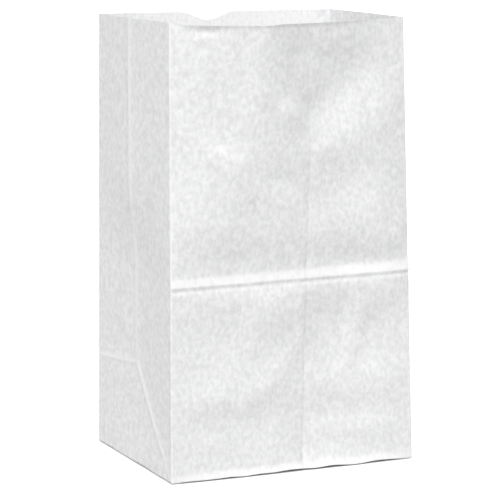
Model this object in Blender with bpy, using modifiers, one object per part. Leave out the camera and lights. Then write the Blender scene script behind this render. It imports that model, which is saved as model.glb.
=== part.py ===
# Paper grocery bag, open and standing: one sheet of white kraft paper, glued into a
# gusseted tube and folded to a flat block bottom.
# Metres, +Z up, the front wall facing -Y. The origin is the middle of the base.

import math

import bmesh
import bpy
from mathutils import Matrix, Vector

# The bag
BAG_WIDTH = 0.202
BAG_DEPTH = 0.155
BAG_HEIGHT = 0.342
PAPER = 0.0002

# Sideways steps of the mouth's corners from straight above the corners of the base
MOUTH_STEPS = {
    ("left", "front"): Vector((-0.0010, -0.0024, 0.0)),
    ("right", "front"): Vector((-0.0092, 0.0038, 0.0)),
    ("left", "back"): Vector((0.0027, -0.0024, 0.0)),
    ("right", "back"): Vector((0.0041, 0.0031, 0.0)),
}

# The front wall swells towards the rim, most of all left of its middle
FRONT_SWELL = 0.016
SWELL_SKEW = 0.35
SWELL_POWER = 1.15

# Soft ridges and hollows that the unfolded paper keeps in its front wall. Each runs between
# two points of the wall, across and up, with a half width and a height.
SOFT_RIDGES = {
    "rim_crest": (Vector((-0.026, 0.350)), Vector((-0.036, 0.275)), 0.0155, 0.0017),
    "left_shoulder": (Vector((-0.009, 0.252)), Vector((-0.110, 0.200)), 0.0280, 0.0030),
    "upper_hollow": (Vector((0.054, 0.307)), Vector((0.003, 0.261)), 0.0190, -0.0025),
    "right_shoulder": (Vector((0.033, 0.247)), Vector((0.085, 0.272)), 0.0215, 0.0027),
    "right_cheek": (Vector((0.080, 0.226)), Vector((0.089, 0.151)), 0.0320, 0.0030),
    "brow": (Vector((-0.097, 0.189)), Vector((0.095, 0.181)), 0.0220, 0.0030),
    "lower_hollow": (Vector((0.046, 0.103)), Vector((0.026, 0.034)), 0.0320, -0.0020),
}

RELIEF_FOOT = 0.012

# The crease across the front wall, where the folded bottom lay while the bag was flat:
# a low ridge with a ledge right under it, a little higher at the right than at the left
FRONT_FOLD_HEIGHT = 0.1470
FRONT_FOLD_TILT = 0.0030
RIDGE_OUT = 0.0015
RIDGE_RUN = 0.010
RIDGE_LEDGE = 0.0010

# The foot of the front wall kicks out
FOOT_KICK = 0.0014
FOOT_HEIGHT = 0.008

# The valley crease across the back wall, and the gussets' centre crease, which is pushed
# in at the bottom and eases outwards above the front fold
BACK_FOLD_HEIGHT = 0.0715
BACK_VALLEY = 0.0020
BACK_VALLEY_RUN = 0.045
GUSSET_IN = 0.0055
GUSSET_OUT = 0.0025
GUSSET_EASE = 0.080

# The glued lap down the front wall: the outer ply ends at LAP_EDGE, the inner one
# LAP_WIDTH further left
LAP_EDGE = 0.0090
LAP_WIDTH = 0.022
PLY_STEP = 0.0004
LAP_EASE = 0.016

# The cut of the rim: a thumb notch in the back wall, a low lip in the front wall, whose rim
# also dips a little at its middle
NOTCH_CENTRE = -0.008
NOTCH_WIDTH = 0.049
NOTCH_DEPTH = 0.0065
LIP_START = 0.004
LIP_LENGTH = 0.073
LIP_DROP = 0.0024
LIP_RAMP = 0.006
RIM_DIP = 0.0014

# The bottom: its flaps overlap at the middle, with mitred ends
FLAP_OVERLAP = 0.024
FOLD_INSET = 0.0003
TUCK_CLEARANCE = 0.0010

# How finely the sheet is divided where it bends
FRONT_COLUMNS = 20
FRONT_ROWS_LOW = 8
FRONT_ROWS_HIGH = 14
BACK_COLUMNS = 6
BACK_ROWS = 7
NOTCH_COLUMNS = 10
GUSSET_COLUMNS = 6

PAPER_COLOUR = (0.83, 0.83, 0.835, 1.0)
PAPER_ROUGHNESS = 0.85

WALL_NORMALS = {
    "front": Vector((0, -1, 0)),
    "back": Vector((0, 1, 0)),
    "left": Vector((-1, 0, 0)),
    "right": Vector((1, 0, 0)),
}
TINY = 1e-6

# Two flap plies lie under the sheet that closes the bottom
SHEET_FLOOR = 2 * PAPER
GUSSET_APEX = SHEET_FLOOR + BAG_DEPTH / 2
FLAP_LENGTH = BAG_DEPTH / 2 + FLAP_OVERLAP / 2


def clear_scene():
    for item in list(bpy.data.objects):
        bpy.data.objects.remove(item, do_unlink=True)


def new_collection(name):
    collection = bpy.data.collections.new(name)
    bpy.context.scene.collection.children.link(collection)
    return collection


def paper_material():
    material = bpy.data.materials.new("white_kraft_paper")
    material.use_nodes = True
    shader = material.node_tree.nodes["Principled BSDF"]
    shader.inputs["Base Color"].default_value = PAPER_COLOUR
    shader.inputs["Roughness"].default_value = PAPER_ROUGHNESS
    shader.inputs["Metallic"].default_value = 0.0
    material.diffuse_color = PAPER_COLOUR
    return material


def between(low, high, value):
    """How far value has come from low to high, from 0 to 1."""
    return min(max((value - low) / (high - low), 0.0), 1.0)


def eased(low, high, value):
    share = between(low, high, value)
    return share * share * (3 - 2 * share)


def spaced(low, high, count):
    """The places that divide a stretch into count equal steps, without its ends."""
    return [low + (high - low) * step / count for step in range(1, count)]


def score(sheet, wall, place, normal, only=None):
    """Divides a wall along a plane, so that the sheet can fold or bend there."""
    sheet.normal_update()
    faces = [face for face in sheet.faces if face.normal.dot(WALL_NORMALS[wall]) > 0.9]
    if only:
        faces = [face for face in faces if only(face.calc_center_median())]
    edges = dict.fromkeys(edge for face in faces for edge in face.edges)
    points = dict.fromkeys(point for face in faces for point in face.verts)
    bmesh.ops.bisect_plane(
        sheet,
        geom=[*faces, *edges, *points],
        dist=TINY,
        plane_co=place,
        plane_no=normal,
    )


def score_rows(sheet, wall, heights, slope=0.0):
    for height in heights:
        score(sheet, wall, (0, 0, height), (-slope, 0, 1))


def score_columns(sheet, wall, places):
    across = (1, 0, 0) if wall in ("front", "back") else (0, 1, 0)
    for place in places:
        score(sheet, wall, Vector(across) * place, across)


def open_box():
    """The sheet before it bends: four walls and the bottom, with no top."""
    sheet = bmesh.new()
    middle = Matrix.Translation((0, 0, (SHEET_FLOOR + BAG_HEIGHT) / 2))
    size = Matrix.Diagonal((BAG_WIDTH, BAG_DEPTH, BAG_HEIGHT - SHEET_FLOOR, 1))
    bmesh.ops.create_cube(sheet, size=1.0, matrix=middle @ size)
    sheet.normal_update()
    top = [face for face in sheet.faces if face.normal.z > 0.9]
    bmesh.ops.delete(sheet, geom=top, context="FACES_ONLY")
    return sheet


def front_fold_at(place):
    """Height of the front wall's crease at a place across the bag."""
    return FRONT_FOLD_HEIGHT + FRONT_FOLD_TILT * place / BAG_WIDTH


def score_front(sheet):
    left = -BAG_WIDTH / 2
    lip_end = LIP_START + LIP_LENGTH
    columns = spaced(left, BAG_WIDTH / 2, FRONT_COLUMNS)
    columns += [left + LIP_START, left + LIP_START + LIP_RAMP]
    columns += [left + lip_end, left + lip_end + LIP_RAMP]
    columns += [LAP_EDGE, LAP_EDGE + PLY_STEP, LAP_EDGE + LAP_EASE]
    columns += [LAP_EDGE - LAP_WIDTH, LAP_EDGE - LAP_WIDTH - PLY_STEP]
    score_columns(sheet, "front", columns)
    ridge_top = FRONT_FOLD_HEIGHT + RIDGE_RUN
    rows = [SHEET_FLOOR + FOOT_HEIGHT * share for share in (0.35, 1.0)]
    rows += spaced(FOOT_HEIGHT, FRONT_FOLD_HEIGHT, FRONT_ROWS_LOW)
    rows += spaced(ridge_top, BAG_HEIGHT, FRONT_ROWS_HIGH)
    score_rows(sheet, "front", rows)
    ridge = [FRONT_FOLD_HEIGHT - RIDGE_LEDGE, FRONT_FOLD_HEIGHT]
    ridge += [*spaced(FRONT_FOLD_HEIGHT, ridge_top, 4), ridge_top]
    score_rows(sheet, "front", ridge, FRONT_FOLD_TILT / BAG_WIDTH)


def score_back(sheet):
    columns = spaced(-BAG_WIDTH / 2, BAG_WIDTH / 2, BACK_COLUMNS)
    notch = (NOTCH_CENTRE - NOTCH_WIDTH / 2, NOTCH_CENTRE + NOTCH_WIDTH / 2)
    columns += [*notch, *spaced(*notch, NOTCH_COLUMNS)]
    score_columns(sheet, "back", columns)
    valley_top = BACK_FOLD_HEIGHT + BACK_VALLEY_RUN
    rows = [*spaced(SHEET_FLOOR, BACK_FOLD_HEIGHT, 3), BACK_FOLD_HEIGHT, valley_top]
    rows += spaced(valley_top, BAG_HEIGHT, BACK_ROWS)
    score_rows(sheet, "back", rows)


def back_crease_height(along):
    """Height of the gusset's crease between its centre and the back wall."""
    return GUSSET_APEX + (BACK_FOLD_HEIGHT - GUSSET_APEX) * along


def score_gusset(sheet, wall):
    """The centre crease, the mitre to the front corner and the crease to the back wall."""
    half = BAG_DEPTH / 2
    score_columns(sheet, wall, [0, *spaced(-half, half, GUSSET_COLUMNS)])
    apex = Vector((0, 0, GUSSET_APEX))
    mitre = Vector((0, half, GUSSET_APEX - SHEET_FLOOR))
    fold = Vector((0, half, BACK_FOLD_HEIGHT - GUSSET_APEX))
    crosswise = Vector((1, 0, 0))
    score(sheet, wall, apex, mitre.cross(crosswise), lambda centre: centre.y < 0)
    score(sheet, wall, apex, fold.cross(crosswise), lambda centre: centre.y > 0)
    ease_end = FRONT_FOLD_HEIGHT + GUSSET_EASE
    rows = spaced(SHEET_FLOOR, BACK_FOLD_HEIGHT, 3)
    rows += [*spaced(FRONT_FOLD_HEIGHT, ease_end, 4), ease_end]
    rows += spaced(ease_end, BAG_HEIGHT, 3)
    ridge = front_fold_at(WALL_NORMALS[wall].x * BAG_WIDTH / 2)
    rows += [ridge - RIDGE_LEDGE, ridge, ridge + RIDGE_RUN / 2, ridge + RIDGE_RUN]
    score_rows(sheet, wall, rows)


def mouth_step(across, along):
    """The mouth's sideways step, shared out between its corners."""
    step = Vector()
    for (side, face), corner in MOUTH_STEPS.items():
        share_x = (1 + across) / 2 if side == "right" else (1 - across) / 2
        share_y = (1 + along) / 2 if face == "back" else (1 - along) / 2
        step += corner * share_x * share_y
    return step


def swell_share(across):
    """The front wall's swelling across its width: none at the folds, most near the middle."""
    turn = math.pi * (1 + across) / 2
    return math.sin(turn) * (1 + SWELL_SKEW * math.cos(turn))


def front_swell(across, height):
    """How far the front wall stands out, and how much height it loses by leaning out."""
    reach = BAG_HEIGHT - FRONT_FOLD_HEIGHT
    share = between(FRONT_FOLD_HEIGHT, BAG_HEIGHT, height)
    full = FRONT_SWELL * swell_share(across)
    slope_sum = SWELL_POWER**2 / (2 * (2 * SWELL_POWER - 1))
    lost = slope_sum * full**2 / reach * share ** (2 * SWELL_POWER - 1)
    return full * share**SWELL_POWER, lost


def soft_relief(across, place, height):
    """How far the soft ridges stand out of the front wall, less near its side folds."""
    out = 0.0
    here = Vector((place, height))
    for start, end, half_width, high in SOFT_RIDGES.values():
        way = end - start
        share = between(0, way.length_squared, (here - start).dot(way))
        gap = (here - start - way * share).length / half_width
        out += high * math.exp(-gap * gap)
    return out * (1 - across**6) * eased(SHEET_FLOOR, RELIEF_FOOT, height)


def front_ridge(place, height):
    above = height - front_fold_at(place)
    if above < -RIDGE_LEDGE / 2:
        return 0.0
    return RIDGE_OUT * (1 - between(0, RIDGE_RUN, above)) ** 2


def foot_recess(across, height):
    """How far the front wall stands back above its foot."""
    if height < FOOT_HEIGHT:
        share = 1 - (1 - between(SHEET_FLOOR, FOOT_HEIGHT, height)) ** 2
    else:
        share = 1 - between(FOOT_HEIGHT, FRONT_FOLD_HEIGHT, height)
    return FOOT_KICK * share * (1 - across**4)


def lap_step(place):
    """How far the outer face drops back where the outer ply of the lap ends."""
    if place < LAP_EDGE + TINY:
        return 0.0
    return PAPER * (1 - between(LAP_EDGE + PLY_STEP, LAP_EDGE + LAP_EASE, place))


def in_lap(place):
    return LAP_EDGE - LAP_WIDTH - TINY < place < LAP_EDGE + TINY


def back_valley(across, height):
    below = between(SHEET_FLOOR, BACK_FOLD_HEIGHT, height)
    above = between(BACK_FOLD_HEIGHT, BACK_FOLD_HEIGHT + BACK_VALLEY_RUN, height)
    return BACK_VALLEY * (below - eased(0, 1, above)) * (1 - across**4)


def gusset_crease(height):
    """How far the gussets' centre crease lies inside the straight wall."""
    ease = eased(FRONT_FOLD_HEIGHT, FRONT_FOLD_HEIGHT + GUSSET_EASE, height)
    return GUSSET_IN - (GUSSET_IN + GUSSET_OUT) * ease


def gusset_inward(along, height):
    near = 1 - abs(along)
    fold = gusset_crease(max(height, GUSSET_APEX))
    rise = between(SHEET_FLOOR, GUSSET_APEX, height)
    if along < 0:
        return fold * min(near, rise) if height < GUSSET_APEX else fold * near
    return fold * near * between(SHEET_FLOOR, back_crease_height(along), height)


def lip_cut(place):
    start = -BAG_WIDTH / 2 + LIP_START
    opening = between(start, start + LIP_RAMP, place)
    closing = between(start + LIP_LENGTH, start + LIP_LENGTH + LIP_RAMP, place)
    return LIP_DROP * (opening - closing)


def notch_cut(place):
    away = min(abs(place - NOTCH_CENTRE) / (NOTCH_WIDTH / 2), 1.0)
    return NOTCH_DEPTH * (1 + math.cos(math.pi * away)) / 2


def bent(flat):
    """Where a point of the straight box stands on the open bag."""
    across = flat.x / (BAG_WIDTH / 2)
    along = flat.y / (BAG_DEPTH / 2)
    point = flat + mouth_step(across, along) * (flat.z / BAG_HEIGHT)
    at_rim = flat.z > BAG_HEIGHT - TINY
    if along < TINY - 1:
        out, lost = front_swell(across, flat.z)
        out += soft_relief(across, flat.x, flat.z) + front_ridge(flat.x, flat.z)
        back = foot_recess(across, flat.z) + lap_step(flat.x)
        point += Vector((0, back - out, -lost))
        point.z -= lip_cut(flat.x) + RIM_DIP * (1 - across**2) if at_rim else 0
    if along > 1 - TINY:
        point.y -= back_valley(across, flat.z)
        point.z -= notch_cut(flat.x) if at_rim else 0
    if abs(across) > 1 - TINY:
        point.x -= math.copysign(1, across) * gusset_inward(along, flat.z)
    return point


def folded_sheet(collection, material):
    """The bag's walls and bottom, thickened inwards, with two plies at the glued lap."""
    sheet = open_box()
    score_front(sheet)
    score_back(sheet)
    score_gusset(sheet, "left")
    score_gusset(sheet, "right")
    doubled = []
    for index, point in enumerate(sheet.verts):
        if point.co.y < TINY - BAG_DEPTH / 2 and in_lap(point.co.x):
            doubled.append(index)
        point.co = bent(point.co)
    mesh = bpy.data.meshes.new("paper_bag")
    sheet.to_mesh(mesh)
    count = len(sheet.verts)
    sheet.free()
    bag = bpy.data.objects.new("paper_bag", mesh)
    collection.objects.link(bag)
    mesh.materials.append(material)
    plies = bag.vertex_groups.new(name="plies")
    plies.add(list(range(count)), 0.5, "REPLACE")
    plies.add(doubled, 1.0, "REPLACE")
    thicken = bag.modifiers.new("thickness", "SOLIDIFY")
    thicken.thickness = 2 * PAPER
    thicken.offset = -1
    thicken.vertex_group = plies.name
    return bag


def layer(name, low, high, free_edge, collection):
    """A thin ply of the bottom, from corner low to corner high. A free edge is a side of
    it, as a direction and the length by which each of its ends is mitred."""
    ply = bmesh.new()
    middle = Matrix.Translation((low + high) / 2)
    size = Matrix.Diagonal((*(high - low), 1))
    bmesh.ops.create_cube(ply, size=1.0, matrix=middle @ size)
    side, mitre = free_edge
    for point in ply.verts:
        if (point.co - (low + high) / 2).dot(side) > 0:
            point.co.x -= math.copysign(mitre, point.co.x)
    mesh = bpy.data.meshes.new(name)
    ply.to_mesh(mesh)
    ply.free()
    item = bpy.data.objects.new(name, mesh)
    item.display_type = "WIRE"
    item.hide_render = True
    collection.objects.link(item)
    return item


def bottom_layers(collection):
    """The plies glued to the bottom: the front and back flaps under it, mitred at 45
    degrees, and the ends of the gussets folded in on top."""
    side = BAG_WIDTH / 2 - FOLD_INSET
    face = BAG_DEPTH / 2 - FOLD_INSET
    reach = FLAP_LENGTH - BAG_DEPTH / 2
    sunk = PAPER / 2
    front = layer(
        "front_flap",
        Vector((-side, -face, 0)),
        Vector((side, reach, SHEET_FLOOR + sunk)),
        (Vector((0, 1, 0)), FLAP_LENGTH - FOLD_INSET),
        collection,
    )
    back = layer(
        "back_flap",
        Vector((-side, -reach, PAPER)),
        Vector((side, face, SHEET_FLOOR + sunk / 2)),
        (Vector((0, -1, 0)), FLAP_LENGTH - FOLD_INSET),
        collection,
    )
    layers = [front, back]
    for name, way in (("left_tuck", -1), ("right_tuck", 1)):
        ends = sorted((way * (BAG_WIDTH / 2 - TUCK_CLEARANCE), way * (BAG_WIDTH / 2 - FLAP_LENGTH)))
        width = BAG_DEPTH / 2 - TUCK_CLEARANCE
        low = Vector((ends[0], -width, SHEET_FLOOR + sunk))
        high = Vector((ends[1], width, SHEET_FLOOR + 2 * PAPER))
        layers.append(layer(name, low, high, (Vector((way, 0, 0)), 0), collection))
    return layers


def glue(bag, layers):
    for item in layers:
        join = bag.modifiers.new(item.name, "BOOLEAN")
        join.operation = "UNION"
        join.solver = "EXACT"
        join.object = item


clear_scene()
paper_bag = folded_sheet(new_collection("paper_grocery_bag"), paper_material())
glue(paper_bag, bottom_layers(new_collection("glued_layers")))
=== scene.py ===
import math

import bmesh
import bpy
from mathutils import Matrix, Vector, noise


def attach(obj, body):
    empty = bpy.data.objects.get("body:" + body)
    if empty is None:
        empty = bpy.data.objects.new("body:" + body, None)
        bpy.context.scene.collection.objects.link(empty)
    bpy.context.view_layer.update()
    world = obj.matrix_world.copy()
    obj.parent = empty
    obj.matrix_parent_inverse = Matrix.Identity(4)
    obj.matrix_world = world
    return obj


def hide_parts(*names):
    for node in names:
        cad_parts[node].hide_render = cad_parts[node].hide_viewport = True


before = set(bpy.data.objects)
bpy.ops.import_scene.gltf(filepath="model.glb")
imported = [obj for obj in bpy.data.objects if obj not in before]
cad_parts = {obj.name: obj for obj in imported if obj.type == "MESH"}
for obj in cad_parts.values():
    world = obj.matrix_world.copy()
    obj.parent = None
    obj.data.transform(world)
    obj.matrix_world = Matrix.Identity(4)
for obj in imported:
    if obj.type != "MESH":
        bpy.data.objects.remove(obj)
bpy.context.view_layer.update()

# The bag, in metres: x across the front wall, y from front to back, z up.
# The front wall is the one with the glued lap, and faces -y.
bag = {
    "width": 0.202,
    "depth": 0.155,
    "height": 0.342,
    "paper": 0.0002,            # one ply
    "foldRadius": 0.0008,       # how round the long folds are
    "foldSegments": 3,
    "foldBeside": 0.0010,       # the first row beside a long fold
    "foldSupport": 0.0007,      # a row on each side of a crease, which keeps it crisp
    "gridStep": 0.0031,         # how finely the paper is divided, and with which extra rows
    "lapColumns": (-0.0026, -0.0012, 0, 0.0002, 0.0014),
    "footRows": (0.0036, 0.0050, 0.0062, 0.0076),
    "ridgeRows": ((-7, 5, 0.0008), (3, 9, 0.0014)),     # from, to, step
    "rimRows": (0.0009, 0.0018, 0.0027, 0.0040, 0.0053, 0.0068, 0.0084),
    "smoothBelow": 38,          # degrees
    "mouthSteps": {             # sideways steps of the mouth's corners
        ("left", "front"): (-0.0010, -0.0024),
        ("right", "front"): (-0.0092, 0.0038),
        ("left", "back"): (0.0027, -0.0024),
        ("right", "back"): (0.0041, 0.0031),
    },
    "swell": 0.016,             # how far the front wall bellies out at the rim
    "swellSkew": 0.35,          # more of it left of the middle
    "swellPower": 1.15,
    "foldHeight": 0.1470,       # the crease across the front wall
    "foldTilt": 0.0020,         # higher at the right
    "foldTiltRun": 0.09,
    "ridgeCrest": 0.0018,       # the ridge over it: its crest lies this far up
    "ridgeSlope": 0.22,         # how much its upper face looks up
    "ridgeRun": (0.0056, 0.0076),   # height of that face, left and right
    "ridgeReach": 1.06,
    "ridgePower": 1.08,
    "ridgeLedge": 0.0032,       # height of the narrow face under the crest
    "ridgeDrop": 0.0010,
    "ridgeBulge": (0.4, 0.0028),    # share of the drop that comes back, and how far below
    "ridgeFade": 0.060,
    "footKick": 0.0021,         # the foot of the front wall kicks out
    "footHeight": 0.0062,
    "footPower": 1.2,
    "footDrop": 0.006,          # below this height it comes down to the floor
    "backFoldHeight": 0.0715,   # the valley crease across the back wall
    "backValley": 0.0020,
    "backValleyRun": 0.045,
    "gussetIn": 0.0032,         # the gussets' centre crease, in at the bottom, out at the top
    "gussetOut": 0.0025,
    "gussetEase": 0.080,
    "gussetLine": 0.0008,       # how far the gussets' creases stand out as lines
    "gussetLineRun": 0.0034,
    "sideLine": 0.7,            # the creases towards the back are weaker than the centre one
    "mitreMargin": 0.003,       # how far past their apex the gussets' slanted creases are cut
    "crossCrease": 0.1455,      # faint crease across the back half of each gusset
    "lapEdge": 0.0090,          # the glued lap down the front wall
    "lapWidth": 0.022,
    "lapEase": 0.014,
    "lapDip": 0.0004,           # how deep the outer ply dips at its edge where it is loose
    "lapDipRun": 0.0042,
    "lapLoose": 0.45,
    "lapLooser": (0.150, 0.165, 0.245, 0.265),  # it is looser between these heights
    "lapFoot": (2.5, 0.015, 0.032),             # how much looser at the foot, and up to where
    "lapWave": (0.15, 95),                      # how much and how often that varies going up
    "lapShut": (0.9, 0.262, 0.280),             # it lies flat above
    "lapLean": (0.0042, 0.22, 0.45),            # how far, over what height, how much to the left
    "notchCentre": -0.008,      # thumb notch in the back rim
    "notchWidth": 0.049,
    "notchDepth": 0.0065,
    "notchRun": 0.03,           # how far down the paper follows the cut
    "lipStart": 0.004,          # low lip in the front rim, from the left corner
    "lipLength": 0.069,
    "lipDrop": (0.0019, 0.0010),    # at its left and right end
    "lipRamp": (0.006, 0.011),
    "lipRun": 0.02,             # how far down the paper follows it
    "rimDip": 0.0014,           # the front rim is a little lower at its middle
    "rimCurl": 0.00070,         # the front rim's edge turns out
    "rimCurlRun": 0.0030,
    "rimCurlEnd": (0.045, 0.075),           # at the right it dies out between these places
    "rimCurlLeft": (0.6, -0.07, -0.045),    # at the left it turns out more by this share
    "mainRelief": 1.2,          # scale of the soft ridges listed below
    "lesserRelief": 1.3,
    "reliefFoot": 0.012,        # above this height the walls show their full unevenness
    "waverSlow": (16, 11, 0.00075),     # slow unevenness: how often across and up, how much
    "waverQuick": (45, 30, 0.00016),
    "gussetWaver": 0.6,
    "flapOverlap": 0.024,       # the two flaps of the bottom
    "flapInset": 0.0003,
    "tuckClearance": 0.001,
    "plyFit": 0.02,             # share of a ply that is left free between two plies
    "bottomSteps": (0.003, 0.010),      # near the bottom's edges, and in its middle
    "edgeLift": 0.0010,         # the bottom's edges don't quite touch the floor
    "edgeLiftRun": 0.016,
    "edgeLiftRise": 0.03,       # how far up the walls follow
    "edgeLiftShares": (1.0, 0.7, 0.35, 0.5),    # front, back, left, right
    "edgeWaver": (55, 0.8, 1.6),    # how often it varies, its even part and its uneven part
}

# Soft ridges of the front wall in millimetres: from x, z to x, z, half width, height
mainRidges = [
    (-26, 350, -36, 275, 15.5, 1.7),
    (-9, 252, -110, 200, 28, 3.0),
    (54, 307, 3, 261, 19, -2.5),
    (33, 247, 85, 272, 21.5, 2.7),
    (80, 226, 89, 151, 32, 3.0),
    (-97, 189, 95, 181, 22, 3.0),
    (46, 103, 26, 34, 32, -2.0),
]
lesserRidges = [
    (94, 207, 84, 186, 8.8, -1.24),
    (-109, 276, -58, 233, 11.3, 1.25),
    (-61, 243, -50, 236, 7.0, 0.70),
    (-10, 204, -45, 218, 12.6, 1.60),
    (-46, 48, -41, 59, 3.4, 0.36),
    (-36, 54, -4, 89, 9.1, 0.65),
    (10, 102, 3, 126, 6.4, 0.62),
    (44, 81, 60, 123, 10.5, 1.28),
    (-107, 59, -26, 64, 13.4, 1.60),
    (24, 64, 81, 64, 15.2, 1.60),
    (-37, 144, -16, 117, 13.0, 1.60),
    (-74, 25, -56, 29, 6.0, 0.53),
    (23, 30, 78, 27, 6.8, 0.80),
    (10, 176, -14, 5, 12.8, 0.64),
    (51, 148, -32, 129, 13.9, 1.48),
    (17, 222, 51, 200, 16.0, 1.60),
    (-7, 274, 14, 243, 8.9, 1.60),
    (48, 340, 55, 318, 12.6, 0.83),
    (4, 321, 23, 310, 11.3, -1.17),
    (-28, 287, -1, 266, 6.0, 0.74),
    (-100, 144, -59, 132, 12.9, 1.33),
    (39, 132, 102, 139, 15.0, 1.19),
    (-64, 63, -29, 109, 16.0, 0.70),
    (-101, 91, 6, 70, 8.1, 0.28),
    (45, 157, 94, 156, 9.6, -1.39),
    (-47, 46, -39, 58, 1.8, 0.16),
    (-39, 58, 7, 99, 1.8, 0.10),
    (7, 99, 11, 132, 1.8, 0.08),
    (48, 80, 60, 121, 2.2, 0.12),
    (-83, 337, -69, 336.5, 3.4, -1.2),    # the pucker under the rim
    (22, 334, 36, 336, 3.0, -0.35),
]


def between(low, high, value):
    return min(max((value - low) / (high - low), 0.0), 1.0)


def eased(low, high, value):
    share = between(low, high, value)
    return share * share * (3 - 2 * share)


def spacedPlaces(low, high, step, kept):
    # kept places stay, and the even ones near them are left out
    count = max(round((high - low) / step), 1)
    even = [low + (high - low) * i / count for i in range(1, count)]
    clear = [place for place in even if all(abs(place - k) > step * 0.35 for k in kept)]
    return sorted([*clear, *[k for k in kept if low < k < high]])


def creaseRows(place):
    return [place - bag["foldSupport"], place, place + bag["foldSupport"]]


tiny = 1e-6

# Heights and lengths that follow from the bag's sizes
sheetFloor = 2 * bag["paper"]
gussetApex = sheetFloor + bag["depth"] / 2
halfWidth = bag["width"] / 2
halfDepth = bag["depth"] / 2
flapLength = halfDepth + bag["flapOverlap"] / 2


def backCreaseHeight(along):
    return gussetApex + (bag["backFoldHeight"] - gussetApex) * along


def mitreGap(along, height):
    # how far above the mitre to the front corner a place of the gusset lies
    return (height - sheetFloor) - (1 + along) * halfDepth


# Selecting and cutting, in edit mode

def selectFaces(piece, wanted):
    bpy.ops.mesh.select_all(action="DESELECT")
    mesh = bmesh.from_edit_mesh(piece.data)
    mesh.normal_update()
    for face in mesh.faces:
        if wanted(face):
            face.select_set(True)
    bmesh.update_edit_mesh(piece.data)


def cutPlane(place, normal):
    bpy.ops.mesh.bisect(plane_co=place, plane_no=normal, threshold=1e-7)


def cutAll(axis, places):
    for place in places:
        bpy.ops.mesh.select_all(action="SELECT")
        cutPlane(Vector(axis) * place, axis)


def boxPiece(name, low, high):
    bpy.ops.object.select_all(action="DESELECT")
    low, high = Vector(low), Vector(high)
    bpy.ops.mesh.primitive_cube_add(size=1, location=(low + high) / 2, scale=high - low)
    piece = bpy.context.active_object
    piece.name = name
    piece.data.name = name
    bpy.ops.object.transform_apply(location=True, rotation=True, scale=True)
    return piece


# How the flat-sided box bends into the bag

def mouthStep(across, along):
    step = Vector((0, 0))
    for (side, face), corner in bag["mouthSteps"].items():
        shareX = (1 + across) / 2 if side == "right" else (1 - across) / 2
        shareY = (1 + along) / 2 if face == "back" else (1 - along) / 2
        step += Vector(corner) * shareX * shareY
    return step


def frontSwell(across, height):
    turn = math.pi * (1 + across) / 2
    full = bag["swell"] * math.sin(turn) * (1 + bag["swellSkew"] * math.cos(turn))
    share = between(bag["foldHeight"], bag["height"], height)
    power = bag["swellPower"]
    reach = bag["height"] - bag["foldHeight"]
    # the height that the paper loses by leaning out
    lost = power**2 / (2 * (2 * power - 1)) * full**2 / reach * share ** (2 * power - 1)
    return full * share**power, lost


def ridgeRunAt(across):
    left, right = bag["ridgeRun"]
    return left + (right - left) * (1 + across) / 2


def frontRidge(across, height):
    # going down: a face that looks up, the crest, and a narrow face back in below it
    run = ridgeRunAt(across)
    crest = bag["ridgeSlope"] * run
    above = height - bag["foldHeight"] - bag["ridgeCrest"]
    if above >= 0:
        return crest * (1 - between(0, run * bag["ridgeReach"], above)) ** bag["ridgePower"]
    ledge = bag["ridgeLedge"]
    back = bag["ridgeDrop"] * (1 - eased(-ledge, 0, above))
    share, below = bag["ridgeBulge"]
    bulge = share * bag["ridgeDrop"] * (1 - eased(-ledge - below, -ledge, above))
    return (crest - back + bulge) * eased(-bag["ridgeFade"], 0, above)


def footFlare(across, height):
    low = sheetFloor + bag["foldRadius"]
    share = (1 - between(low, bag["footHeight"], height)) ** bag["footPower"]
    return bag["footKick"] * share * (1 - across**4)


def lapProfile(place, height):
    # the outer ply dips to its edge, and the wall right of it lies one ply deeper
    away = place - bag["lapEdge"]
    start, whole, easing, end = bag["lapLooser"]
    looser, footLow, footHigh = bag["lapFoot"]
    wave, often = bag["lapWave"]
    shutShare, shutLow, shutHigh = bag["lapShut"]
    shown = 1 - shutShare * eased(shutLow, shutHigh, height)
    stretch = eased(start, whole, height) * (1 - eased(easing, end, height))
    loose = bag["lapLoose"] + bag["lapLoose"] * stretch
    loose += looser * (1 - eased(footLow, footHigh, height)) + wave * math.sin(height * often)
    loose *= shown
    if away < tiny:
        return bag["lapDip"] * loose * between(-bag["lapDipRun"], 0, away) ** 2
    deep = bag["paper"] / 2 * shown + bag["lapDip"] * loose
    return deep * (1 - between(bag["paper"], bag["lapEase"], away)) ** 2


def softRidges(ridges, place, height):
    out = 0.0
    here = Vector((place * 1000, height * 1000))
    for x1, z1, x2, z2, half, high in ridges:
        start = Vector((x1, z1))
        way = Vector((x2, z2)) - start
        share = (here - start).dot(way) / way.length_squared
        nearest = start + way * min(max(share, 0.0), 1.0)
        gap = (here - nearest).length / half
        if gap < 3:
            out += high / 1000 * math.exp(-gap * gap)
    return out


def wallWaver(place, height, seed):
    out = 0.0
    for kind, shift in (("waverSlow", 0.0), ("waverQuick", 7.3)):
        oftenAcross, oftenUp, much = bag[kind]
        out += much * noise.noise(Vector((place * oftenAcross, height * oftenUp, seed + shift)))
    return out


def backValley(across, height):
    below = between(sheetFloor, bag["backFoldHeight"], height)
    above = between(bag["backFoldHeight"], bag["backFoldHeight"] + bag["backValleyRun"], height)
    return bag["backValley"] * (below - eased(0, 1, above)) * (1 - across**4)


def gussetInward(along, height):
    near = 1 - abs(along)
    start = bag["foldHeight"]
    ease = eased(start, start + bag["gussetEase"], max(height, gussetApex))
    fold = bag["gussetIn"] - (bag["gussetIn"] + bag["gussetOut"]) * ease
    rise = between(sheetFloor, gussetApex, height)
    if along < 0:
        return fold * min(near, rise) if height < gussetApex else fold * near
    return fold * near * between(sheetFloor, backCreaseHeight(along), height)


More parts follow.
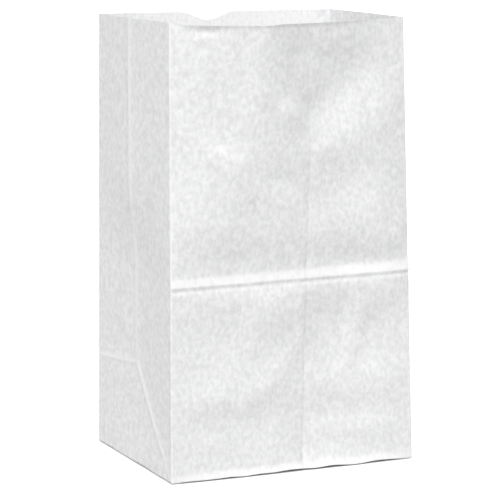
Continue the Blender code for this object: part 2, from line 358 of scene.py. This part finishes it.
def gussetLines(place, height):
    # the centre crease, the mitre to the front corner and the crease to the back wall
    along = place / halfDepth
    run = bag["gussetLineRun"]
    if height > gussetApex:
        line = nearness(place, run)
        if along > 0:
            line = max(line, bag["sideLine"] * nearness((height - gussetApex) * 2, run))
        return bag["gussetLine"] * line
    if along < 0:
        return bag["gussetLine"] * nearness(mitreGap(along, height), run)
    away = height - backCreaseHeight(along)
    return bag["sideLine"] * bag["gussetLine"] * nearness(away * 2, run)


def lipCut(place):
    start = -halfWidth + bag["lipStart"]
    end = start + bag["lipLength"]
    left, right = bag["lipDrop"]
    rampIn, rampOut = bag["lipRamp"]
    shown = eased(start, start + rampIn, place) - eased(end, end + rampOut, place)
    return (left + (right - left) * between(start, end, place)) * shown


def notchCut(place):
    away = min(abs(place - bag["notchCentre"]) / (bag["notchWidth"] / 2), 1.0)
    return bag["notchDepth"] * (1 + math.cos(math.pi * away)) / 2


def edgeLift(x, y):
    # the bottom rises a little towards its edges, unevenly, and not at its corners
    edges = (
        (x, halfWidth, halfDepth + y, 1.7),
        (x, halfWidth, halfDepth - y, 4.1),
        (y, halfDepth, halfWidth + x, 6.2),
        (y, halfDepth, halfWidth - x, 8.9),
    )
    often, even, much = bag["edgeWaver"]
    lift = 0.0
    for share, (place, half, gap, seed) in zip(bag["edgeLiftShares"], edges):
        nearEdge = (1 - between(0, bag["edgeLiftRun"], gap)) ** 2
        uneven = even + much * noise.noise(Vector((place * often, seed, 0.4)))
        lift += bag["edgeLift"] * share * nearEdge * uneven * (1 - (place / half) ** 6)
    return max(lift, 0.0)


def rimCurl(across, flat):
    much, start, end = bag["rimCurlLeft"]
    curl = between(bag["height"] - bag["rimCurlRun"], bag["height"], flat.z) ** 1.5
    curl *= (1 - across**8) * (1 - eased(*bag["rimCurlEnd"], flat.x))
    return bag["rimCurl"] * curl * (1 + much - much * eased(start, end, flat.x))


def bendFront(point, flat, across, onFront, fade):
    height = bag["height"]
    out, lost = frontSwell(across, flat.z)
    out += frontRidge(across, flat.z) + footFlare(across, flat.z)
    out -= lapProfile(flat.x, flat.z)
    out += softRidges(mainRidges, flat.x, flat.z) * fade * bag["mainRelief"]
    out += softRidges(lesserRidges, flat.x, flat.z) * fade * bag["lesserRelief"]
    out += wallWaver(flat.x, flat.z, 2.0) * fade
    out += rimCurl(across, flat)
    point.y -= onFront * out
    low = sheetFloor + bag["foldRadius"]
    point.z -= onFront * sheetFloor * (1 - between(low, bag["footDrop"], flat.z))
    point.z -= onFront * lost
    cut = lipCut(flat.x) + bag["rimDip"] * (1 - across**2)
    point.z -= onFront * cut * eased(height - bag["lipRun"], height, flat.z)
    tilted = 1 - between(0, bag["foldTiltRun"], abs(flat.z - bag["foldHeight"]))
    point.z += onFront * bag["foldTilt"] * flat.x / bag["width"] * tilted
    much, high, start = bag["lapLean"]
    lean = much * (between(0, high, flat.z) - start)
    point.x += onFront * lean * (1 - across**2)


def bentPoint(flat):
    # the walls move as far as a point is round the fold on to them
    across = flat.x / halfWidth
    along = flat.y / halfDepth
    fold = bag["foldRadius"]
    onFront = between(halfDepth - fold, halfDepth, -flat.y)
    onBack = between(halfDepth - fold, halfDepth, flat.y)
    onSide = between(halfWidth - fold, halfWidth, abs(flat.x))
    onFloor = 1 - between(sheetFloor, sheetFloor + fold, flat.z)
    risen = 1 - eased(0, bag["edgeLiftRise"], flat.z)
    step = mouthStep(across, along) * (flat.z / bag["height"])
    point = flat + Vector((step.x, step.y, 0))
    foot = eased(0, bag["reliefFoot"], flat.z)
    fade = (1 - across**6) * foot
    if onFront:
        bendFront(point, flat, across, onFront, fade)
    if onBack:
        out = wallWaver(flat.x, flat.z, 5.0) * fade - backValley(across, flat.z)
        point.y += onBack * out
        nearRim = eased(bag["height"] - bag["notchRun"], bag["height"], flat.z)
        point.z -= onBack * notchCut(flat.x) * nearRim
    if onSide:
        sideFade = (1 - along**6) * foot
        inward = gussetInward(along, flat.z) - gussetLines(flat.y, flat.z) * sideFade
        inward -= wallWaver(flat.y, flat.z, 11.0 + across) * sideFade * bag["gussetWaver"]
        point.x -= math.copysign(1, across) * onSide * inward
    point.z += edgeLift(flat.x, flat.y) * max(risen, onFloor)
    return point


# Where the paper is creased it is painted paler, partly as wear and partly as a painted highlight
# where a fold catches the light: how much, and how wide each way

paleCreasesAndHighlights = {
    "longFolds": (0.65, 0.25),      # painted highlight and wear on the front's corner folds, above and below the front crease
    "bottomEdge": 1.0,
    "foot": (0.8, 0.0030, 0.0068),  # painted highlight on the foot, which looks up: how much, and between which heights it fades
    "ridge": (0.0008, 0.75, 1.1),   # painted highlight on the ridge's upper face: its crest's width, and where its upper face ends
    "backFold": (1.0, 0.0010),
    "centre": (1.3, 0.0024),
    "mitre": (1.5, 0.0030),
    "backCrease": (1.5, 0.0022),
    "crossCrease": (0.7, 0.0010),
    "apex": (2.0, 0.0042),
    "apexShape": (0.6, 0.002),      # its width for its height, and how far it lies lower
    "pastApex": 0.001,              # how far the slanted creases show past where they meet
    "pastCentre": 0.01,
}


def nearness(gap, reach):
    return math.exp(-((gap / reach) ** 2))


def paleness(name, gap):
    much, reach = paleCreasesAndHighlights[name]
    return much * nearness(gap, reach)


def frontPaintedHighlight(flat):
    # painted highlight: the ridge's upper face and the foot look up to the light and are painted
    # paler
    above = flat.z - bag["foldHeight"] - bag["ridgeCrest"]
    run = ridgeRunAt(flat.x / halfWidth)
    crest, ends, gone = paleCreasesAndHighlights["ridge"]
    ridge = eased(-crest, crest, above) * (1 - eased(run * ends, run * gone, above))
    much, low, high = paleCreasesAndHighlights["foot"]
    return max(ridge, much * (1 - eased(low, high, flat.z)))


def gussetWearAndHighlight(flat):
    # the gusset's creases are painted paler: partly wear, partly a painted highlight
    wearAndHighlight = 0.0
    along = flat.y / halfDepth
    if flat.z > gussetApex:
        wearAndHighlight = paleness("centre", flat.y)
    if along < 0 and flat.z < gussetApex + paleCreasesAndHighlights["pastApex"]:
        wearAndHighlight = max(wearAndHighlight, paleness("mitre", mitreGap(along, flat.z)))
    if along > -paleCreasesAndHighlights["pastCentre"]:
        wearAndHighlight = max(wearAndHighlight, paleness("backCrease", flat.z - backCreaseHeight(along)))
        wearAndHighlight = max(wearAndHighlight, paleness("crossCrease", flat.z - bag["crossCrease"]))
    shape, lower = paleCreasesAndHighlights["apexShape"]
    apex = math.hypot(flat.y * shape, flat.z - gussetApex + lower)
    return max(wearAndHighlight, paleness("apex", apex))


# Wear and painted highlight along the folds and creases, kept as one mask
def creaseWearAndHighlight(flat):
    wearAndHighlight = 0.0
    fold = bag["foldRadius"]
    onFront = flat.y < fold - halfDepth
    onBack = flat.y > halfDepth - fold
    onSide = abs(flat.x) > halfWidth - fold
    if onFront and onSide:
        high, low = paleCreasesAndHighlights["longFolds"]
        wearAndHighlight = high if flat.z > bag["foldHeight"] else low
    if (onFront or onBack or onSide) and flat.z < sheetFloor + fold:
        wearAndHighlight = paleCreasesAndHighlights["bottomEdge"]
    if onFront:
        wearAndHighlight = max(wearAndHighlight, frontPaintedHighlight(flat))
    if onBack:
        wearAndHighlight = max(wearAndHighlight, paleness("backFold", flat.z - bag["backFoldHeight"]))
    if onSide:
        wearAndHighlight = max(wearAndHighlight, gussetWearAndHighlight(flat))
    return wearAndHighlight


# Painted light and shade on the inner side: paler all over, darker at its back left corner and on
# its right wall
innerPaintedShade = {
    "cornerReach": 0.075,       # painted shade: the inner side is darker towards the corner at the back left
    "rightShade": 1.18,         # painted shade: the inner right wall is painted a little darker than the outer side
    "rightRun": (0.0008, 0.022),
}


def innerPaintedLightAndShade(flat):
    # 1 for the inner side's painted light, 0 for the colour of the outer side; below 0 is painted
    # shade
    look = innerPaintedShade
    away = (Vector((flat.x, flat.y)) - Vector((-halfWidth, halfDepth))).length
    right = 1 - eased(*look["rightRun"], halfWidth - flat.x)
    return eased(0.0, look["cornerReach"], away) - look["rightShade"] * right


# The sheet: four walls and the bottom, with no top

def paperSheet():
    height = bag["height"]
    fold = bag["foldRadius"]
    low = (-halfWidth, -halfDepth, sheetFloor)
    sheet = boxPiece("paperSheet", low, (halfWidth, halfDepth, height))
    bpy.ops.object.mode_set(mode="EDIT")
    bpy.ops.mesh.select_mode(type="FACE")
    selectFaces(sheet, lambda face: face.normal.z > 0.9)
    bpy.ops.mesh.delete(type="ONLY_FACE")
    bpy.ops.mesh.select_mode(type="EDGE")
    bpy.ops.mesh.select_all(action="DESELECT")
    mesh = bmesh.from_edit_mesh(sheet.data)
    for edge in mesh.edges:
        edge.select_set(len(edge.link_faces) == 2)
    bmesh.update_edit_mesh(sheet.data)
    bpy.ops.mesh.bevel(offset=fold, segments=bag["foldSegments"], affect="EDGES")
    bpy.ops.mesh.select_mode(type="FACE")
    step = bag["gridStep"]
    beside = fold + bag["foldBeside"]
    lap = bag["lapEdge"]
    lapInner = lap - bag["lapWidth"]
    acrossKept = [-halfWidth + beside, halfWidth - beside]
    acrossKept += [*[lap + shift for shift in bag["lapColumns"]], lapInner - bag["paper"], lapInner]
    cutAll((1, 0, 0), spacedPlaces(-halfWidth + fold, halfWidth - fold, step, acrossKept))
    alongKept = [-halfDepth + beside, halfDepth - beside, *creaseRows(0)]
    cutAll((0, 1, 0), spacedPlaces(-halfDepth + fold, halfDepth - fold, step, alongKept))
    upKept = [sheetFloor + beside, *bag["footRows"], *creaseRows(bag["backFoldHeight"])]
    for first, end, apart in bag["ridgeRows"]:
        upKept += [bag["foldHeight"] + count * apart for count in range(first, end)]
    upKept += [height - drop for drop in bag["rimRows"]]
    cutAll((0, 0, 1), spacedPlaces(sheetFloor + fold, height, step, upKept))
    creaseGussets(sheet)
    bpy.ops.object.mode_set(mode="OBJECT")
    return sheet


def creaseGussets(sheet):
    # the mitre to the front corner and the crease to the back wall, each with a row beside it
    mitre = Vector((0, halfDepth, gussetApex - sheetFloor)).normalized()
    crease = Vector((0, halfDepth, bag["backFoldHeight"] - gussetApex)).normalized()
    for way, isFront in ((mitre, True), (crease, False)):
        normal = way.cross(Vector((1, 0, 0)))
        for shift in (-1, 0, 1):
            place = Vector((0, 0, gussetApex)) + normal * shift * bag["foldSupport"]
            selectFaces(sheet, lambda face: gussetSide(face, isFront))
            cutPlane(place, normal)


def gussetSide(face, isFront):
    centre = face.calc_center_median()
    inPlace = centre.y < 0 if isFront else centre.y > 0
    return abs(face.normal.x) > 0.9 and inPlace and centre.z < gussetApex + bag["mitreMargin"]


# The bottom's plies: a front and a back flap under it, and the gussets' ends in it

def bottomPly(name, low, high, freeSide, mitre):
    ply = boxPiece(name, low, high)
    middle = (Vector(low) + Vector(high)) / 2
    for point in ply.data.vertices:
        if (point.co - middle).dot(Vector(freeSide)) > 0:
            point.co.x -= math.copysign(mitre, point.co.x)
    bpy.ops.object.mode_set(mode="EDIT")
    run = bag["edgeLiftRun"]
    fine, coarse = bag["bottomSteps"]
    for axis, half in (((1, 0, 0), halfWidth), ((0, 1, 0), halfDepth)):
        places = spacedPlaces(-half, -half + run, fine, [])
        places += spacedPlaces(-half + run, half - run, coarse, [])
        places += spacedPlaces(half - run, half, fine, [])
        cutAll(axis, places)
    bpy.ops.object.mode_set(mode="OBJECT")
    return ply


def bottomPlies():
    thick = bag["paper"]
    fit = bag["plyFit"]
    side = halfWidth - bag["flapInset"]
    face = halfDepth - bag["flapInset"]
    mitre = flapLength - bag["flapInset"]
    reach = flapLength - halfDepth
    frontTop = (side, reach, thick * (1 - fit))
    backTop = (side, face, thick * (2 - fit))
    plies = [
        bottomPly("frontFlap", (-side, -face, 0), frontTop, (0, 1, 0), mitre),
        bottomPly("backFlap", (-side, -reach, thick), backTop, (0, -1, 0), mitre),
    ]
    inner = halfDepth - bag["tuckClearance"]
    for name, way in (("leftTuck", -1), ("rightTuck", 1)):
        outerEnd = way * (halfWidth - bag["tuckClearance"])
        ends = sorted((outerEnd, way * (halfWidth - flapLength)))
        low = (ends[0], -inner, sheetFloor + thick * (1 + fit))
        high = (ends[1], inner, sheetFloor + thick * 2)
        plies.append(bottomPly(name, low, high, (way, 0, 0), 0))
    return plies


def setValues(piece, name, values):
    layer = piece.data.attributes.new(name, "FLOAT", "POINT")
    for index, value in enumerate(values):
        layer.data[index].value = value


def inLap(place):
    return bag["lapEdge"] - bag["lapWidth"] - tiny < place < bag["lapEdge"] + tiny


def paperBag():
    sheet = paperSheet()
    print("paper sheet cut and creased:", len(sheet.data.polygons), "faces")
    doubled = []
    wearAndHighlight = []
    inner = []
    for index, point in enumerate(sheet.data.vertices):
        flat = point.co.copy()
        wearAndHighlight.append(creaseWearAndHighlight(flat))
        inner.append(innerPaintedLightAndShade(flat))
        if flat.y < bag["foldRadius"] / 2 - halfDepth and inLap(flat.x):
            doubled.append(index)
        point.co = bentPoint(flat)
    setValues(sheet, "creaseWearAndHighlight", wearAndHighlight)
    # the thickness is that of two plies, so a single one has half of it
    twoPly = sheet.vertex_groups.new(name="plies")
    twoPly.add(list(range(len(wearAndHighlight))), 0.5, "REPLACE")
    twoPly.add(doubled, 1.0, "REPLACE")
    thickness = sheet.modifiers.new("thickness", "SOLIDIFY")
    thickness.thickness = 2 * bag["paper"]
    thickness.offset = -1
    thickness.vertex_group = twoPly.name
    bpy.ops.object.select_all(action="DESELECT")
    bpy.context.view_layer.objects.active = sheet
    sheet.select_set(True)
    bpy.ops.object.modifier_apply(modifier=thickness.name)
    # the thickness adds the inner side's points after the outer ones
    # innerSide carries the inner side's painted light, and its painted shade at the back left
    # corner and on the right wall
    setValues(sheet, "innerSide", [0.0] * len(wearAndHighlight) + inner)
    plies = bottomPlies()
    for ply in plies:
        for point in ply.data.vertices:
            point.co.z += edgeLift(point.co.x, point.co.y)
        setValues(ply, "creaseWearAndHighlight", [0.0] * len(ply.data.vertices))
        setValues(ply, "innerSide", [0.0] * len(ply.data.vertices))
    bpy.ops.object.select_all(action="DESELECT")
    for piece in (sheet, *plies):
        piece.select_set(True)
    bpy.context.view_layer.objects.active = sheet
    bpy.ops.object.join()
    sheet.name = "paperBag"
    sheet.data.name = "paperBag"
    bpy.ops.object.shade_smooth_by_angle(angle=math.radians(bag["smoothBelow"]))
    print("paper bag folded:", len(sheet.data.polygons), "faces")
    return sheet


# The paper

paperLook = {
    "colour": (0.835, 0.836, 0.842),
    "innerPaintedLightColour": (0.955, 0.955, 0.957),    # painted light: the inner side is the same paper, painted paler
    "mottleDepth": 0.078,       # how much the fibre clouds change the colour
    "mottleSize": 320,          # clouds to a metre, across
    "streak": 0.7,              # below 1 the clouds are longer up and down
    "gussetStreak": 0.6,        # and wider on the gussets
    "cloud": (1.5, 0.55, 0.35),     # detail, roughness and distortion
    "cloudRange": (0.3, 0.7),
    "nap": (3.0, 0.7, 0.0),     # the fine nap between the clouds
    "napFiner": 4.5,
    "napShare": 0.35,
    # the creases' paler colour: wear, and a painted highlight
    "wearAndHighlightColour": (0.905, 0.905, 0.908),
    "wearAndHighlightAmount": 0.75,
    "wearBroken": (0.9, 0.5),   # how much of a crease's mask the clouds break up, and the rest
    "roughness": 0.82,
    "specular": 0.3,
    "showThrough": 0.00016,     # how far light spreads in the paper
    "bump": 0.30,
    "bumpHeight": 0.0004,
}


def newGroup(name, inputs, outputs):
    group = bpy.data.node_groups.new(name, "ShaderNodeTree")
    for label, kind, value in inputs:
        socket = group.interface.new_socket(label, in_out="INPUT", socket_type=kind)
        if value is not None:
            socket.default_value = value
    for label, kind in outputs:
        group.interface.new_socket(label, in_out="OUTPUT", socket_type=kind)
    return group, group.nodes.new("NodeGroupInput"), group.nodes.new("NodeGroupOutput")


def mathNode(tree, operation, first, second):
    node = tree.nodes.new("ShaderNodeMath")
    node.operation = operation
    for index, value in enumerate((first, second)):
        if isinstance(value, (int, float)):
            node.inputs[index].default_value = value
        else:
            tree.links.new(value, node.inputs[index])
    return node.outputs[0]


def mixColour(tree, factor, first, second):
    node = tree.nodes.new("ShaderNodeMix")
    node.data_type = "RGBA"
    tree.links.new(factor, node.inputs[0])
    for index, value in ((6, first), (7, second)):
        if isinstance(value, tuple):
            node.inputs[index].default_value = value
        else:
            tree.links.new(value, node.inputs[index])
    return node.outputs[2]


def noiseNode(tree, shape, vector, scale):
    node = tree.nodes.new("ShaderNodeTexNoise")
    for label, value in zip(("Detail", "Roughness", "Distortion"), shape):
        node.inputs[label].default_value = value
    tree.links.new(vector, node.inputs["Vector"])
    tree.links.new(scale, node.inputs["Scale"])
    return node.outputs["Fac"]


def fibreGroup():
    # worm-like fibre clouds, and the fine nap between them
    look = paperLook
    group, start, end = newGroup(
        "paperFibre",
        [
            ("Vector", "NodeSocketVector", None),
            ("Size", "NodeSocketFloat", look["mottleSize"]),
            ("Streak", "NodeSocketFloat", look["streak"]),
        ],
        [("Cloud", "NodeSocketFloat"), ("Height", "NodeSocketFloat")],
    )
    links = group.links
    stretch = group.nodes.new("ShaderNodeCombineXYZ")
    stretch.inputs["X"].default_value = 1.0
    stretch.inputs["Y"].default_value = look["gussetStreak"]
    links.new(start.outputs["Streak"], stretch.inputs["Z"])
    scaled = group.nodes.new("ShaderNodeVectorMath")
    scaled.operation = "MULTIPLY"
    links.new(start.outputs["Vector"], scaled.inputs[0])
    links.new(stretch.outputs[0], scaled.inputs[1])
    cloud = noiseNode(group, look["cloud"], scaled.outputs[0], start.outputs["Size"])
    finer = mathNode(group, "MULTIPLY", start.outputs["Size"], look["napFiner"])
    nap = noiseNode(group, look["nap"], scaled.outputs[0], finer)
    links.new(cloud, end.inputs["Cloud"])
    mixed = mathNode(group, "MULTIPLY", nap, look["napShare"])
    links.new(mathNode(group, "ADD", cloud, mixed), end.inputs["Height"])
    return group


def wearAndHighlightGroup():
    # a crease's mask of wear and painted highlight, broken up by the fibres
    group, start, end = newGroup(
        "creaseMask",
        [
            ("WearAndHighlight", "NodeSocketFloat", 0.0),
            ("Cloud", "NodeSocketFloat", 0.5),
            ("Amount", "NodeSocketFloat", 0.5),
        ],
        [("Mask", "NodeSocketFloat")],
    )
    share, rest = paperLook["wearBroken"]
    clouded = mathNode(group, "MULTIPLY", start.outputs["Cloud"], share)
    broken = mathNode(group, "ADD", clouded, rest)
    mask = mathNode(group, "MULTIPLY", start.outputs["WearAndHighlight"], broken)
    shown = mathNode(group, "MULTIPLY", mask, start.outputs["Amount"])
    group.links.new(shown, end.inputs["Mask"])
    return group


def paperMaterial():
    look = paperLook
    material = bpy.data.materials.new("whiteKraftPaper")
    material.use_nodes = True
    tree = material.node_tree
    links = tree.links
    shader = tree.nodes["Principled BSDF"]
    shader.inputs["Roughness"].default_value = look["roughness"]
    shader.inputs["Specular IOR Level"].default_value = look["specular"]
    shader.inputs["Subsurface Weight"].default_value = 1.0     # daylight shows through the paper
    shader.inputs["Subsurface Radius"].default_value = (1.0, 1.0, 1.0)
    shader.inputs["Subsurface Scale"].default_value = look["showThrough"]
    place = tree.nodes.new("ShaderNodeTexCoord")
    fibre = tree.nodes.new("ShaderNodeGroup")
    fibre.node_tree = fibreGroup()
    fibre.inputs["Size"].default_value = look["mottleSize"]
    fibre.inputs["Streak"].default_value = look["streak"]
    links.new(place.outputs["Object"], fibre.inputs["Vector"])
    tint = tree.nodes.new("ShaderNodeMapRange")
    low, high = look["cloudRange"]
    tint.inputs["From Min"].default_value = low
    tint.inputs["From Max"].default_value = high
    tint.inputs["To Min"].default_value = 1 - look["mottleDepth"]
    tint.inputs["To Max"].default_value = 1 + look["mottleDepth"]
    links.new(fibre.outputs["Cloud"], tint.inputs["Value"])
    # the inner side's painted light and painted shade
    inner = tree.nodes.new("ShaderNodeAttribute")
    inner.attribute_name = "innerSide"
    sides = mixColour(tree, inner.outputs["Fac"], (*look["colour"], 1), (*look["innerPaintedLightColour"], 1))
    sides.node.clamp_factor = False     # below 0 the inner side is darker than the outer one, as painted shade
    clouded = tree.nodes.new("ShaderNodeVectorMath")
    clouded.operation = "SCALE"
    links.new(sides, clouded.inputs[0])
    links.new(tint.outputs["Result"], clouded.inputs["Scale"])
    # the creases' mask of wear and painted highlight
    wornAndLit = tree.nodes.new("ShaderNodeAttribute")
    wornAndLit.attribute_name = "creaseWearAndHighlight"
    mask = tree.nodes.new("ShaderNodeGroup")
    mask.node_tree = wearAndHighlightGroup()
    mask.inputs["Amount"].default_value = look["wearAndHighlightAmount"]
    links.new(wornAndLit.outputs["Fac"], mask.inputs["WearAndHighlight"])
    links.new(fibre.outputs["Cloud"], mask.inputs["Cloud"])
    wearAndHighlightColour = (*look["wearAndHighlightColour"], 1)
    shown = mixColour(tree, mask.outputs["Mask"], clouded.outputs["Vector"], wearAndHighlightColour)
    links.new(shown, shader.inputs["Base Color"])
    bump = tree.nodes.new("ShaderNodeBump")
    bump.inputs["Strength"].default_value = look["bump"]
    bump.inputs["Distance"].default_value = look["bumpHeight"]
    links.new(fibre.outputs["Height"], bump.inputs["Height"])
    links.new(bump.outputs["Normal"], shader.inputs["Normal"])
    return material


bagPiece = paperBag()
bagPiece.data.materials.clear()
bagPiece.data.materials.append(paperMaterial())
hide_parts("paper_bag")
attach(bagPiece, "root")
print("paper bag in place")


# The studio

studio = {
    "floorSize": 40.0,
    "floorDrop": 0.0002,        # just below the bag
    "floorColour": (0.44, 0.44, 0.44),  # as the bag's walls see it
    "floorSeen": (1.0, 1.0, 1.0),       # as the camera sees it
    "floorGlow": 0.35,          # added for the camera, except where the bag touches the floor
    "contactReach": 0.006,
    "contactPower": 2.0,
    "ambient": 0.57,            # the world's light on the bag
    "keyStrength": 2.27,
    "keyAngle": 45,             # wide, for a soft shadow
    "keyFrom": (-34, 40),       # degrees round from the front, and up
    "keyAway": 3,
    "cameraPlace": (-0.7157, -1.5880, 0.4208),
    "cameraTurn": (81.465, 0.0, -24.19),
    "cameraLens": 162.35,
}


def seenRays(tree):
    rays = tree.nodes.new("ShaderNodeLightPath")
    seen = mathNode(tree, "MAXIMUM", rays.outputs["Is Camera Ray"], rays.outputs["Is Glossy Ray"])
    return mathNode(tree, "MAXIMUM", seen, rays.outputs["Is Transmission Ray"])


def floorMaterial():
    material = bpy.data.materials.new("paleFloor")
    material.use_nodes = True
    tree = material.node_tree
    shader = tree.nodes["Principled BSDF"]
    seen = seenRays(tree)
    colour = mixColour(tree, seen, (*studio["floorColour"], 1), (*studio["floorSeen"], 1))
    tree.links.new(colour, shader.inputs["Base Color"])
    shader.inputs["Roughness"].default_value = 1.0
    shader.inputs["Specular IOR Level"].default_value = 0.0
    shader.inputs["Emission Color"].default_value = (1, 1, 1, 1)
    contact = tree.nodes.new("ShaderNodeAmbientOcclusion")
    contact.samples = 8
    contact.inputs["Distance"].default_value = studio["contactReach"]
    clear = mathNode(tree, "POWER", contact.outputs["AO"], studio["contactPower"])
    glow = mathNode(tree, "MULTIPLY", mathNode(tree, "MULTIPLY", seen, clear), studio["floorGlow"])
    tree.links.new(glow, shader.inputs["Emission Strength"])
    return material


def studioFloor():
    bpy.ops.object.select_all(action="DESELECT")
    place = (0, 0, -studio["floorDrop"])
    bpy.ops.mesh.primitive_plane_add(size=studio["floorSize"], location=place)
    floor = bpy.context.active_object
    floor.name = "studioFloor"
    floor.data.materials.append(floorMaterial())


def studioWorld():
    world = bpy.data.worlds.new("studioWorld")
    bpy.context.scene.world = world
    world.use_nodes = True
    tree = world.node_tree
    background = tree.nodes["Background"]
    background.inputs["Color"].default_value = (1, 1, 1, 1)
    extra = mathNode(tree, "MULTIPLY", seenRays(tree), 1 - studio["ambient"])
    strength = mathNode(tree, "ADD", extra, studio["ambient"])
    tree.links.new(strength, background.inputs["Strength"])


def keyLight():
    turn, rise = (math.radians(angle) for angle in studio["keyFrom"])
    level = math.cos(rise)
    source = Vector((math.sin(turn) * level, -math.cos(turn) * level, math.sin(rise)))
    bpy.ops.object.light_add(type="SUN", location=source * studio["keyAway"])
    key = bpy.context.active_object
    key.name = "softKey"
    key.rotation_euler = (-source).to_track_quat("-Z", "Y").to_euler()
    key.data.energy = studio["keyStrength"]
    key.data.angle = math.radians(studio["keyAngle"])


def photoCamera():
    turn = [math.radians(angle) for angle in studio["cameraTurn"]]
    bpy.ops.object.camera_add(location=studio["cameraPlace"], rotation=turn)
    camera = bpy.context.active_object
    camera.name = "photoCamera"
    camera.data.lens = studio["cameraLens"]
    bpy.context.scene.camera = camera


studioFloor()
studioWorld()
keyLight()
photoCamera()
bpy.context.scene.view_settings.view_transform = "Standard"
print("studio ready")
